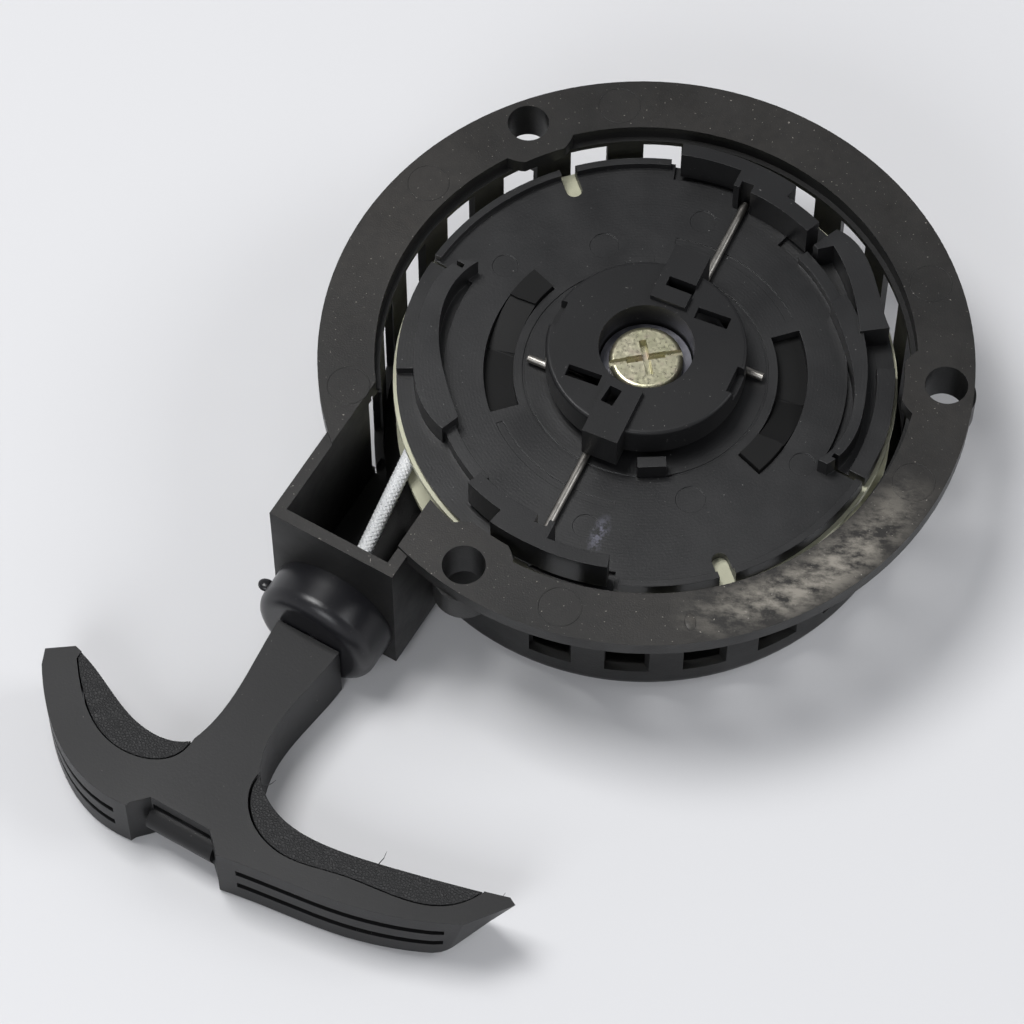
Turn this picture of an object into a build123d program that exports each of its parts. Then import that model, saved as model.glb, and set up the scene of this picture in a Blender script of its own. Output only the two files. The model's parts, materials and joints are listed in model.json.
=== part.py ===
from build123d import *
import os
from math import cos, degrees, radians, sin

# Recoil starter for a small two-stroke engine, all sizes in millimetres.
# The origin is the centre of the mounting flange on its mounting face.
# +Z points to the engine and +X passes through the first mounting hole.
os.makedirs("parts", exist_ok=True)

# ---------------------------------------------------------------- driving sizes
flange_od = 150.0
flange_id = 124.0
flange_t = 4.0
bolt_pcd = 137.2
bolt_hole_d = 9.8
bolt_count = 3
bolt_boss_r = 11.0
housing_depth = 45.0
wall_t = 2.2
vent_count = 22
vent_w = 9.0
vent_first_angle = 93.0
vent_top = -5.5
vent_bottom = -36.0

disc_top = -7.7
disc_r = 57.2
disc_t = 2.4
rim_lip_h = 2.0
rim_lip_t = 1.7
ledge_depth = 1.3
ledge_r = 46.4
guide_top = -2.5
pawl_top = 1.6
play = 0.12
run_gap = 0.4

reel_r = 58.0
reel_flange_t = 1.5
groove_w = 13.8
reel_core_r = 33.0
rope_d = 3.8
rope_out_r = 43.0
rope_pitch = 4.0

hub_r = 23.0
hub_bore_r = 11.0
hub_top = 3.2
hub_h = 8.2
bar_top = 4.8
bar_w = 8.6
bar_r = 27.0
wire_d = 1.9
screw_head_r = 8.5
thread_d = 5.9
screw_head_top = -1.6
post_r = 9.0
sleeve_t = 1.5
fit_gap = 0.05

exit_angle = 246.2
exit_face = 78.7
exit_offset = -35.6
box_w = 32.2
box_wall = 2.8
box_rim = -1.0
box_bottom = -41.5
hole_z = -29.5
rope_hole_r = 3.4
seat_r = 15.1
seat_l = 10.9
stem_w = 16.2
handle_t = 18.5

# pawl outline, angles from the first mounting hole
arm_in_r = 49.4
arm_out_r = 53.2
block_out_r = 57.0
tail_in_r = 53.9
arm_start = 227.5
block_start = 238.5
block_end = 252.0
tail_end = 267.5
pawl_pin_r = 54.6
pawl_pin_angle = 247.0
pawl_pin_d = 3.0
pin_clear = 0.05

reel_top = disc_top - disc_t - run_gap
groove_top = reel_top - 1.9
groove_bottom = groove_top - groove_w
reel_bottom = groove_bottom - reel_flange_t
rope_z = groove_top - rope_d / 2 - 0.2
ledge_z = disc_top - ledge_depth
bore_r = flange_id / 2
shell_r = bore_r + 1.0
base_z = -housing_depth


def polar(radius, angle):
    """Point at a radius and an angle in degrees."""
    return (radius * cos(radians(angle)), radius * sin(radians(angle)))


def exit_point(along, across):
    """Point in the frame of the rope exit: along its axis and across it."""
    a = radians(exit_angle)
    return (along * cos(a) - across * sin(a), along * sin(a) + across * cos(a))


def sector(r_in, r_out, start, end):
    """Closed ring sector between two radii and two angles, as lines and arcs."""
    mid = (start + end) / 2
    Line(polar(r_in, start), polar(r_out, start))
    ThreePointArc(polar(r_out, start), polar(r_out, mid), polar(r_out, end))
    Line(polar(r_out, end), polar(r_in, end))
    ThreePointArc(polar(r_in, end), polar(r_in, mid), polar(r_in, start))


def save(part, label):
    """Name a finished piece and write its STEP file."""
    part.label = label
    export_step(part, f"parts/{label}.step")


# ---------------------------------------------------------------- housing
box_u0 = 40.0
box_centre = (box_u0 + exit_face) / 2
box_len = exit_face - box_u0
box_mid_w = exit_offset - 0.2
spring_wall_r = 47.0
spring_wall_top = -31.0
post_top = disc_top + 2.2

with BuildPart() as housing:
    with BuildSketch(Plane.XY.offset(-flange_t)):
        Circle(flange_od / 2)
    extrude(amount=flange_t)
    with BuildSketch(Plane.XY.offset(-flange_t)):
        Circle(shell_r)
    extrude(amount=-(housing_depth - flange_t))
    fillet(housing.faces().sort_by(Axis.Z)[0].edges(), radius=5.0)
    # rope exit box, square to the pull direction
    with BuildSketch(Plane.XY.offset(box_bottom)):
        with Locations(exit_point(box_centre, box_mid_w)):
            Rectangle(box_len, box_w, rotation=exit_angle)
    extrude(amount=box_rim - box_bottom)
    # ring chamber of the reel, then the wider mouth
    with BuildSketch(Plane.XY.offset(base_z + 2.5)):
        Circle(shell_r - wall_t)
    extrude(amount=housing_depth, mode=Mode.SUBTRACT)
    with BuildSketch(Plane.XY.offset(-flange_t)):
        Circle(bore_r)
    extrude(amount=flange_t + 1, mode=Mode.SUBTRACT)
    # inside of the exit box
    with BuildSketch(Plane.XY.offset(box_bottom + box_wall)):
        with Locations(exit_point(box_centre - box_wall, box_mid_w)):
            Rectangle(box_len, box_w - 2 * box_wall, rotation=exit_angle)
    extrude(amount=housing_depth, mode=Mode.SUBTRACT)
    # rounded bosses round the mounting holes
    with BuildSketch(Plane.XY.offset(-flange_t)):
        with PolarLocations(bolt_pcd / 2, bolt_count, start_angle=240):
            Circle(bolt_boss_r)
        Circle(flange_od / 2, mode=Mode.INTERSECT)
        Circle(bore_r - 3.0, mode=Mode.SUBTRACT)
    extrude(amount=flange_t)
    with BuildSketch(Plane.XY.offset(-flange_t - 8)):
        with PolarLocations(bolt_pcd / 2, bolt_count):
            Circle(bolt_hole_d / 2 + 2.2)
        Circle(shell_r, mode=Mode.SUBTRACT)
    extrude(amount=8)
    with BuildSketch(Plane.XY.offset(1)):
        with PolarLocations(bolt_pcd / 2, bolt_count):
            Circle(bolt_hole_d / 2)
    extrude(amount=-20, mode=Mode.SUBTRACT)
    # cooling vents right round the side wall
    vent_mid = (vent_top + vent_bottom) / 2
    with BuildSketch(Plane.XY.offset(vent_mid)) as vents:
        for k in range(vent_count):
            vent_angle = vent_first_angle + k * 360 / vent_count
            if abs((vent_angle - 222) % 360) > 26 and abs((vent_angle - 222) % 360 - 360) > 26:
                with Locations(polar(shell_r, vent_angle)):
                    Rectangle(9, vent_w, rotation=vent_angle + 28)
    extrude(amount=(vent_top - vent_bottom) / 2, both=True, mode=Mode.SUBTRACT)
    # fixed centre post and the ring wall round the recoil spring
    with BuildSketch(Plane.XY.offset(base_z + 2.0)):
        Circle(post_r - sleeve_t)
    extrude(amount=post_top - base_z - 2.0)
    with BuildSketch(Plane.XY.offset(base_z + 2.0)):
        Circle(spring_wall_r + 2)
        Circle(spring_wall_r, mode=Mode.SUBTRACT)
    extrude(amount=spring_wall_top - base_z - 2.0)
    with BuildSketch(Plane.XY.offset(post_top + 1)):
        Circle(thread_d / 2 + fit_gap)
    extrude(amount=-24, mode=Mode.SUBTRACT)
    # slot in the ring wall that hooks the outer end of the recoil spring
    with BuildSketch(Plane.XY.offset(base_z + 3.0)):
        with Locations((spring_wall_r + 1, 0)):
            Rectangle(4, 1.6)
    extrude(amount=housing_depth - 30, mode=Mode.SUBTRACT)
    # rope hole through the front wall of the exit box
    exit_plane = Plane(
        origin=(*exit_point(exit_face + 1, exit_offset), hole_z),
        x_dir=(*exit_point(0, 1), 0),
        z_dir=(*exit_point(1, 0), 0),
    )
    with BuildSketch(exit_plane):
        Circle(5.0)
    extrude(amount=-(box_wall + 3), mode=Mode.SUBTRACT)
save(housing.part, "housing")

# ---------------------------------------------------------------- rope reel
recess_r = 40.3
recess_floor = reel_top - 0.9
throat_r = 46.0
hollow_r = 31.0
hollow_roof = groove_top - 1.5
arbor_r = 12.5
arbor_bottom = base_z + 2.8
bore_run = post_r + fit_gap
rope_start = 161.7
passage_h = 2.6

with BuildPart() as rope_reel:
    with BuildSketch(Plane.XZ):
        with BuildLine():
            Polyline(
                (bore_run, recess_floor),
                (recess_r, recess_floor),
                (recess_r, reel_top),
                (reel_r, reel_top),
                (reel_r, reel_top - reel_flange_t),
                (throat_r, groove_top),
                (reel_core_r, groove_top),
                (reel_core_r, groove_bottom),
                (reel_r - 0.4, groove_bottom),
                (reel_r - 0.4, reel_bottom),
                (hollow_r, reel_bottom),
                (hollow_r, hollow_roof),
                (arbor_r, hollow_roof),
                (arbor_r, arbor_bottom),
                (bore_run, arbor_bottom),
                close=True,
            )
        make_face()
    revolve(axis=Axis.Z)
    # slot that hooks the inner end of the recoil spring
    with BuildSketch(Plane.XY.offset(arbor_bottom)):
        with Locations((arbor_r - 0.5, 0)):
            Rectangle(3.4, 2.0)
    extrude(amount=10.5, mode=Mode.SUBTRACT)
    # passage that leads the end of the rope inside the drum
    coil_end = rope_start - 900
    with BuildSketch(Plane.XY.offset(rope_z - passage_h)):
        with Locations(polar(reel_core_r - 3.5, coil_end - 8)):
            Circle(7.2)
        Circle(reel_core_r + 0.5, mode=Mode.INTERSECT)
    extrude(amount=groove_top - rope_z + passage_h, mode=Mode.SUBTRACT)
save(rope_reel.part, "rope_reel")

# ---------------------------------------------------------------- drive disc
lip_start, lip_end = 90.0, 155.0
slit_angle = 156.0
slit_w = 1.1
step_angle = 187.0
guide_end = 207.0
pocket_start, pocket_end = 140.0, 204.0
pocket_in_r, pocket_out_r = 30.4, 37.2
notch_angle = 115.0
post_angle = 279.0
catch_start, catch_end = 15.0, 46.3
mark_depth = 0.25
pair = (0.0, 180.0)
guide_inner = [(46.6, 152.5), (48.7, 163), (48.2, 176), (46.8, 187), (45.4, 206.5)]
guide_outer_wide = [(50.6, 154.5), (52.9, 163), (53.1, 176), (53.2, 188), (52.4, 200), (49.9, 208.5)]
guide_outer_thin = [(49.0, 152.8), (51.1, 163), (50.8, 176), (50.6, 187), (50.4, 196), (49.4, 208.0)]


def ring_block(r_in, r_out, start, end, low, high, mode=Mode.ADD):
    """Both twins of a ring sector block between two levels."""
    with BuildSketch(Plane.XY.offset(low)) as ring:
        for turn in pair:
            with BuildLine():
                sector(r_in, r_out, start + turn, end + turn)
            make_face()
    extrude(ring.sketch, amount=high - low, mode=mode)


def guide_wall(turn, inner, outer):
    """Crescent guide wall drawn through its inner and outer edge points."""
    rim = [polar(r, a + turn) for r, a in inner]
    back = [polar(r, a + turn) for r, a in reversed(outer)]
    with BuildSketch(Plane.XY.offset(ledge_z - 0.5)) as wall:
        with BuildLine():
            Spline(*rim)
            Line(rim[-1], back[0])
            Spline(*back)
            Line(back[-1], rim[0])
        make_face()
    extrude(wall.sketch, amount=guide_top - ledge_z + 0.5)


with BuildPart() as drive_disc:
    with BuildSketch(Plane.XY.offset(disc_top - disc_t)):
        Circle(disc_r + 3)
    extrude(amount=disc_t)
    ring_block(ledge_r, disc_r + 4, slit_angle, tail_end + 1.5, ledge_z, disc_top + 1, Mode.SUBTRACT)
    ring_block(ledge_r - 1.5, 52.9, block_start - 4, tail_end + 2.5, ledge_z, disc_top)
    ring_block(disc_r - rim_lip_t, disc_r + 2, lip_start, lip_end, disc_top - 0.5, disc_top + rim_lip_h)
    ring_block(disc_r - 4.2, disc_r + 2, slit_angle - 0.5, step_angle, ledge_z - 0.5, disc_top + 1.2)
    guide_wall(0, guide_inner, guide_outer_wide)
    guide_wall(180, guide_inner, guide_outer_thin)
    ring_block(46.2, 49.0, guide_end - 2, arm_start - 1.2, ledge_z - 0.5, disc_top + 2.3)
    with BuildSketch(Plane.XY.offset(ledge_z - 0.5)):
        with PolarLocations(pawl_pin_r, 2, start_angle=pawl_pin_angle):
            Circle(pawl_pin_d / 2 + 1.6)
    extrude(amount=disc_top - ledge_z + 0.5)
    # trimmed to one diameter
    with BuildSketch(Plane.XY.offset(disc_top - disc_t - 1)):
        Circle(disc_r)
    extrude(amount=20, mode=Mode.INTERSECT)
    # tall catch wall beside the second pawl
    with BuildSketch(Plane.XY.offset(ledge_z - 0.5)):
        with BuildLine():
            inner_a, inner_b = polar(49.6, catch_start), polar(53.2, 41.5)
            back_a, back_b = polar(56.6, catch_end - 1.5), polar(56.5, catch_start)
            Spline(inner_a, polar(50.6, 24), polar(51.8, 32), inner_b)
            Polyline(inner_b, polar(49.7, 43.0), polar(49.5, catch_end - 1.5), back_a)
            Spline(back_a, polar(58.0, 39.5), polar(57.6, 32), back_b)
            Line(back_b, inner_a)
        make_face()
    extrude(amount=disc_top + 6.1 - ledge_z + 0.5)
    # slits, edge notches, arc pockets and pin holes
    with BuildSketch(Plane.XY.offset(disc_top - disc_t - 1)):
        for turn in pair:
            with Locations(polar(53.6, slit_angle + turn)):
                Rectangle(9.6, slit_w, rotation=slit_angle + turn)
            with Locations(polar(disc_r - 1.6, notch_angle + turn)):
                SlotOverall(11.0, 3.8, rotation=notch_angle + turn)
        Circle(bore_run)
        with PolarLocations(pawl_pin_r, 2, start_angle=pawl_pin_angle):
            Circle(pawl_pin_d / 2 + pin_clear)
    extrude(amount=14, mode=Mode.SUBTRACT)
    ring_block(pocket_in_r, pocket_out_r, pocket_start, pocket_end, disc_top - disc_t - 1, disc_top + 1, Mode.SUBTRACT)
    # shallow arc slots, a line ring and ejector marks
    ring_block(35.2, 37.0, 209, 265, disc_top - mark_depth, disc_top + 1, Mode.SUBTRACT)
    with BuildSketch(Plane.XY.offset(disc_top - mark_depth)):
        Circle(28.3)
        Circle(27.8, mode=Mode.SUBTRACT)
        with Locations(*[polar(43.0, a) for a in (78, 145.5, 258, 332)]):
            Circle(3.0)
        with Locations(*[polar(35.2, a) for a in (112, 293)]):
            Circle(3.4)
    extrude(amount=1, mode=Mode.SUBTRACT)
    # square posts beside the hub
    with BuildSketch(Plane.XY.offset(disc_top - 0.5)):
        with PolarLocations(26.7, 2, start_angle=post_angle):
            Rectangle(2.7, 6.6)
    extrude(amount=5.2)
save(drive_disc.part, "drive_disc")

# ---------------------------------------------------------------- coupling ring
ring_t = 0.75
lug_side = 0.25
ramp_end = pocket_start + 35
ramp_lean = -14.0

with BuildPart() as coupling_ring:
    with BuildSketch(Plane.XY.offset(recess_floor + 0.05)):
        Circle(recess_r - 0.3)
        Circle(14.0, mode=Mode.SUBTRACT)
    extrude(amount=ring_t)
    lug_low = recess_floor + 0.4
    lug_in, lug_out = pocket_in_r + lug_side, pocket_out_r - lug_side
    ring_block(lug_in, lug_out, pocket_start + 0.5, pocket_start + 14, lug_low, disc_top + 1.2)
    ring_block(lug_in, lug_out, pocket_start + 13.5, ramp_end, lug_low, disc_top + 0.4)
    # each lug runs out as a long ramp
    for turn in pair:
        middle = (pocket_start + 14 + ramp_end) / 2 + turn
        lean = radians(ramp_lean)
        ramp = Plane(
            origin=(*polar((lug_in + lug_out) / 2, middle), disc_top - 1.3),
            x_dir=(*polar(1, middle), 0),
            z_dir=(*polar(-sin(lean), middle + 90), cos(lean)),
        )
        with BuildSketch(ramp):
            Rectangle(12, 13.6)
        extrude(amount=6, mode=Mode.SUBTRACT)
save(coupling_ring.part, "coupling_ring")

# ---------------------------------------------------------------- pawls
wire_angle = 251.8
wire_offset = 2.7
wire_tip = 50.4
wire_z = -6.2
wire_slot = 3.0
pin_foot = ledge_z - 0.9


def wire_point(distance):
    """Point on the centre line of the first hub wire, by distance along it."""
    a = radians(wire_angle)
    return (distance * cos(a) + wire_offset * sin(a), distance * sin(a) - wire_offset * cos(a))


for turn, label in zip(pair, ("pawl_a", "pawl_b")):
    with BuildPart() as pawl:
        with BuildSketch(Plane.XY.offset(disc_top + play)):
            with BuildLine():
                sector(arm_in_r, arm_out_r, arm_start, block_start + 0.5)
            make_face()
            with BuildLine():
                sector(arm_in_r, block_out_r, block_start, block_end)
            make_face()
            with BuildLine():
                sector(tail_in_r, block_out_r + 0.1, block_end - 0.5, tail_end)
            make_face()
            # slot for the end of the hub wire, open towards the hub
            with Locations(wire_point(wire_tip - 1.9)):
                Rectangle(5.6, wire_slot, rotation=wire_angle, mode=Mode.SUBTRACT)
        extrude(amount=pawl_top - disc_top - play)
        with BuildSketch(Plane.XY.offset(pin_foot)):
            with Locations(polar(pawl_pin_r, pawl_pin_angle)):
                Circle(pawl_pin_d / 2)
        extrude(amount=disc_top + play + 0.5 - pin_foot)
    save(pawl.part.rotate(Axis.Z, turn), label)

# ---------------------------------------------------------------- friction hub
tube_r = 12.4
skirt_t = 2.2
roof_t = 2.2
hub_bottom = hub_top - hub_h
flange_bore = 9.8
flange_top = disc_top + 0.95
bar_angle = 73.0
window_sizes = [(17.3, 62.4 + 7, 2.6, 6.5, 73.0), (16.9, 26.3 + 7, 8.0, 3.0, -15.0), (16.3, 207.8 + 7, 8.0, 3.0, -15.0), (16.2, 239.6 + 7, 4.5, 3.0, 67.0)]
stub_len = 11.7
bend_r = 11.0
bend_end = 9.1

with BuildPart() as friction_hub:
    with BuildSketch(Plane.XY.offset(hub_bottom)):
        Circle(hub_r)
    extrude(amount=hub_h)
    fillet(friction_hub.faces().sort_by(Axis.Z)[-1].edges(), radius=0.9)
    # raised bars that reach out over the wires
    with BuildSketch(Plane.XY.offset(hub_bottom)):
        with PolarLocations((12 + bar_r) / 2, 2, start_angle=bar_angle):
            Rectangle(bar_r - 12, bar_w)
    extrude(amount=bar_top - hub_bottom)
    with BuildSketch(Plane.XY.offset(hub_bottom)):
        Circle(hub_r - skirt_t)
        Circle(tube_r, mode=Mode.SUBTRACT)
    extrude(amount=hub_h - roof_t, mode=Mode.SUBTRACT)
    with BuildSketch(Plane.XY.offset(disc_top + play)):
        Circle(tube_r)
    extrude(amount=hub_bottom - disc_top + 0.5)
    with BuildSketch(Plane.XY.offset(flange_top)):
        Circle(hub_bore_r)
    extrude(amount=20, mode=Mode.SUBTRACT)
    with BuildSketch(Plane.XY.offset(disc_top)):
        Circle(flange_bore)
    extrude(amount=5, mode=Mode.SUBTRACT)
    # windows through the roof
    with BuildSketch(Plane.XY.offset(hub_top - roof_t - 1)):
        for r, a, w, h, turn in window_sizes:
            with Locations(polar(r, a)):
                Rectangle(w, h, rotation=turn)
        with PolarLocations(hub_r, 2, start_angle=bar_angle + 90):
            Rectangle(4, 7)
    extrude(amount=20, mode=Mode.SUBTRACT)
save(friction_hub.part, "friction_hub")

# ---------------------------------------------------------------- hub wires
stub_dir = radians(wire_angle - 90)
corner = wire_point(bend_end)

for turn, label in zip(pair, ("hub_wire_a", "hub_wire_b")):
    with BuildPart() as wire:
        with BuildLine():
            leg_end = (*wire_point(wire_tip), wire_z)
            leg_start = (*wire_point(bend_end + bend_r), wire_z)
            stub_start = (corner[0] + bend_r * cos(stub_dir), corner[1] + bend_r * sin(stub_dir), wire_z)
            stub_end = (
                corner[0] + (bend_r + stub_len) * cos(stub_dir),
                corner[1] + (bend_r + stub_len) * sin(stub_dir),
                wire_z,
            )
            leg = Line(leg_end, leg_start)
            bend = TangentArc(leg @ 1, stub_start, tangent=leg % 1)
            Line(bend @ 1, stub_end)
        with BuildSketch(Plane(origin=leg @ 0, z_dir=leg % 0)):
            Circle(wire_d / 2)
        sweep()
    save(wire.part.rotate(Axis.Z, turn), label)

# ---------------------------------------------------------------- centre screw
washer_r = 10.6
washer_t = 1.0
screw_len = 21.0
head_bottom = post_top + washer_t

with BuildPart() as screw_washer:
    with BuildSketch(Plane.XY.offset(post_top)):
        Circle(washer_r)
        Circle(thread_d / 2 + 0.2, mode=Mode.SUBTRACT)
    extrude(amount=washer_t)
save(screw_washer.part, "screw_washer")

with BuildPart() as center_screw:
    with BuildSketch(Plane.XY.offset(head_bottom)):
        Circle(screw_head_r)
    extrude(amount=screw_head_top - head_bottom)
    fillet(center_screw.faces().sort_by(Axis.Z)[-1].edges(), radius=1.3)
    with BuildSketch(Plane.XY.offset(head_bottom)):
        Circle(thread_d / 2)
    extrude(amount=-screw_len)
    # combined slot and cross
    with BuildSketch(Plane.XY.offset(screw_head_top + 1)):
        Rectangle(2 * screw_head_r + 2, 1.5, rotation=17)
    extrude(amount=-2.2, mode=Mode.SUBTRACT)
    with BuildSketch(Plane.XY.offset(screw_head_top + 1)):
        Rectangle(9.6, 2.0, rotation=17)
        Rectangle(9.6, 2.0, rotation=107)
    extrude(amount=-3.2, taper=8, mode=Mode.SUBTRACT)
save(center_screw.part, "center_screw")

# friction spring between the hub flange and the washer
spring_wire = 0.5
with BuildPart() as friction_spring:
    with BuildSketch(Plane.XY.offset(flange_top + 0.15)):
        Circle(hub_bore_r - 0.25)
        Circle(flange_bore - 0.3, mode=Mode.SUBTRACT)
        with Locations((hub_bore_r, 0)):
            Rectangle(4, 0.8, mode=Mode.SUBTRACT)
    extrude(amount=spring_wire)
save(friction_spring.part, "friction_spring")

with BuildPart() as post_sleeve:
    with BuildSketch(Plane.XY.offset(base_z + 2.6)):
        Circle(post_r)
        Circle(post_r - sleeve_t + fit_gap / 2, mode=Mode.SUBTRACT)
    extrude(amount=post_top - 0.15 - base_z - 2.6)
save(post_sleeve.part, "post_sleeve")

# ---------------------------------------------------------------- recoil spring
strip_t = 0.6
strip_h = 9.0
strip_low = base_z + 3.3
packed_step = 0.75
packed_turns = 16
open_step = 3.0
open_turns = 5
end_x = arbor_r + 0.9

radii = [spring_wall_r - 0.6 - k * packed_step for k in range(packed_turns)]
radii += [radii[-1] - (k + 1) * open_step for k in range(open_turns)]
reach = radii[0]
for k, r in enumerate(radii):
    reach = 2 * r - reach if k else r
radii.append((reach + end_x) / 2)

with BuildPart() as recoil_spring:
    with BuildSketch(Plane.XY.offset(strip_low)):
        with BuildLine():
            # both edges of the strip are half circles round alternating centres
            x = radii[0]
            side = 1
            edges = []
            for r in radii:
                cx = x - side * r
                edges.append((cx, r, side))
                x = cx - side * r
                side = -side
            half = strip_t / 2
            for cx, r, s in edges:
                for edge_r in (r + half, r - half):
                    ThreePointArc((cx + s * edge_r, 0), (cx, s * edge_r), (cx - s * edge_r, 0))
            first_x = radii[0]
            Line((first_x - half, 0), (first_x + half, 0))
            Line((x - half, 0), (x + half, 0))
        make_face()
    extrude(amount=strip_h)
    # bent ends that hook into the ring wall and the arbor
    with BuildSketch(Plane.XY.offset(strip_low)):
        with Locations((spring_wall_r + 0.2, 0.3)):
            Rectangle(2.2, strip_t)
        with Locations((x - 0.9, -0.25)):
            Rectangle(2.0, strip_t)
    extrude(amount=strip_h)
save(recoil_spring.part, "recoil_spring")

plate_t = 0.8
with BuildPart() as spring_plate:
    with BuildSketch(Plane.XY.offset(spring_wall_top + 0.03)):
        Circle(spring_wall_r + 1.8)
        Circle(arbor_r + 0.6, mode=Mode.SUBTRACT)
    extrude(amount=plate_t)
save(spring_plate.part, "spring_plate")

# softening spring inside the reel, wound as closed coils
damper_wire = 2.4
damper_r = hollow_r - damper_wire / 2 - 3.6
with BuildPart() as damper_spring:
    for k in range(3):
        with BuildSketch(Plane.XZ):
            with Locations((damper_r, hollow_roof - 8.4 - k * (damper_wire - 0.1))):
                Circle(damper_wire / 2)
        revolve(axis=Axis.Z)
save(damper_spring.part, "damper_spring")

# ---------------------------------------------------------------- pull rope
rope_gap = 0.45
coil_radii = [rope_out_r - k * rope_pitch / 2 for k in range(5)]
entry_r = 6.0
entry_turn = 72.0
knot_r = 3.2


def on_coil_axis(distance):
    """Point on the line through the start of the coil, by signed distance."""
    return (*polar(distance, rope_start), rope_z)


with BuildPart() as rope_coil:
    with BuildLine() as coil_path:
        x = rope_out_r
        side = 1
        for r in coil_radii:
            cx = x - side * r
            far = cx - side * r
            mid = (
                cx * cos(radians(rope_start)) + side * r * sin(radians(rope_start)),
                cx * sin(radians(rope_start)) - side * r * cos(radians(rope_start)),
                rope_z,
            )
            last = ThreePointArc(on_coil_axis(x), mid, on_coil_axis(far))
            x = far
            side = -side
        tail = JernArc(start=(last @ 1), tangent=(last % 1), radius=entry_r, arc_size=-entry_turn)
        Line(tail @ 1, (tail @ 1) + (tail % 1) * 4.0)
    with BuildSketch(Plane(origin=coil_path.line @ 0, z_dir=coil_path.line % 0)):
        Circle(rope_d / 2)
    sweep()
save(rope_coil.part, "rope_coil")
knot_at = (tail @ 1) + (tail % 1) * (4.0 + knot_r + 0.4)

with BuildPart() as reel_knot:
    with Locations((knot_at.X, knot_at.Y, hollow_roof - knot_r - 0.3)):
        Sphere(knot_r)
save(reel_knot.part, "reel_knot")

seat_front = exit_face + seat_l
bend_run = 7.0
knot_u = 138.0
run_stop = knot_u - 3.2
with BuildPart() as rope_run:
    with BuildLine() as run_path:
        start = Vector(*polar(rope_out_r, rope_start), rope_z)
        hole = Vector(*exit_point(exit_face - box_wall, exit_offset), hole_z)
        down = (hole - start).normalized()
        out = Vector(*exit_point(1, 0), 0)
        slope = Line(start + down * rope_gap, hole - down * bend_run)
        turn_arc = TangentArc(slope @ 1, hole + out * bend_run, tangent=slope % 1)
        Line(turn_arc @ 1, Vector(*exit_point(run_stop, exit_offset), hole_z))
    with BuildSketch(Plane(origin=run_path.line @ 0, z_dir=run_path.line % 0)):
        Circle(rope_d / 2)
    sweep()
save(rope_run.part, "rope_run")


def exit_cylinder(radius, start, end, bore=0.0, round_front=0.0):
    """Turned ring on the rope axis between two distances from the disc centre."""
    plane = Plane(
        origin=(*exit_point(start, exit_offset), hole_z),
        x_dir=(*exit_point(0, 1), 0),
        z_dir=(*exit_point(1, 0), 0),
    )
    with BuildPart(mode=Mode.PRIVATE) as ring:
        with BuildSketch(plane):
            Circle(radius)
        extrude(amount=end - start)
        if round_front:
            fillet(ring.faces().sort_by(Axis((0, 0, 0), plane.z_dir))[-1].edges(), radius=round_front)
        if bore:
            with BuildSketch(plane):
                Circle(bore)
            extrude(amount=end - start, mode=Mode.SUBTRACT)
    return ring.part


eyelet_r = 4.95
eyelet_lip = 1.2
with BuildPart() as rope_eyelet:
    add(exit_cylinder(eyelet_r, exit_face - box_wall - 0.02, exit_face + 2.0, rope_hole_r))
    add(exit_cylinder(eyelet_r + 1.6, exit_face - box_wall - eyelet_lip, exit_face - box_wall - 0.02, rope_hole_r))
save(rope_eyelet.part, "rope_eyelet")

with BuildPart() as handle_seat:
    add(exit_cylinder(seat_r, exit_face + 0.02, seat_front, round_front=3.6))
    add(exit_cylinder(eyelet_r + 0.15, exit_face, exit_face + 2.2), mode=Mode.SUBTRACT)
    add(exit_cylinder(rope_hole_r, exit_face, seat_front + 1), mode=Mode.SUBTRACT)
    # flash nub left by the mould
    with Locations((*exit_point(exit_face + 3.5, exit_offset - seat_r + 0.4), hole_z + 1.0)):
        Sphere(1.3)
save(handle_seat.part, "handle_seat")

# ---------------------------------------------------------------- pull handle
handle_top = -26.0
handle_low = handle_top - handle_t
handle_gap = 0.3
stem_u = seat_front + handle_gap
groove_h = 2.2
groove_d = 1.8
seam = 0.3
knot_pocket_r = 3.3
# outline points: along the pull axis and across it
left_inner = [(125.6, -44.1), (128.2, -49.5), (128.4, -54.4), (125.2, -64.8), (119.1, -79.6)]
left_tip = [(119.1, -79.6), (123.2, -85.2), (127.0, -83.6)]
left_outer = [(127.0, -83.6), (133.0, -78.9), (142.8, -67.1), (146.8, -48.8)]
right_outer = [(147.0, -25.4), (145.7, -18.1), (142.3, 5.7), (138.3, 20.0), (133.0, 31.5)]
right_tip = [(133.0, 31.5), (123.2, 38.8), (122.2, 36.9)]
right_inner = [(122.2, 36.9), (125.9, 23.9), (129.4, 9.9), (132.0, -4.0), (131.4, -16.7), (127.0, -24.6), (123.0, -27.6)]
stem_right = [(123.0, -27.6), (111.9, -29.7), (99.2, -28.4), (stem_u, exit_offset + stem_w / 2)]
stem_left = [(stem_u, exit_offset - stem_w / 2), (107.4, -42.3), (118.0, -42.4), (125.6, -44.1)]
insert_left = [(121.6, -77.7), (128.5, -71.6), (134.4, -63.0), (135.6, -54.0), (132.4, -46.5), (125.8, -43.9)]
insert_right = [(124.3, -26.8), (130.6, -26.0), (136.4, -20.9), (139.2, -11.5), (136.7, 2.3), (130.2, 27.0), (125.6, 30.5), (124.0, 31.2)]


def spline_through(points):
    """Smooth edge through points given along and across the pull axis."""
    return Spline(*[exit_point(u, v) for u, v in points])


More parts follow.
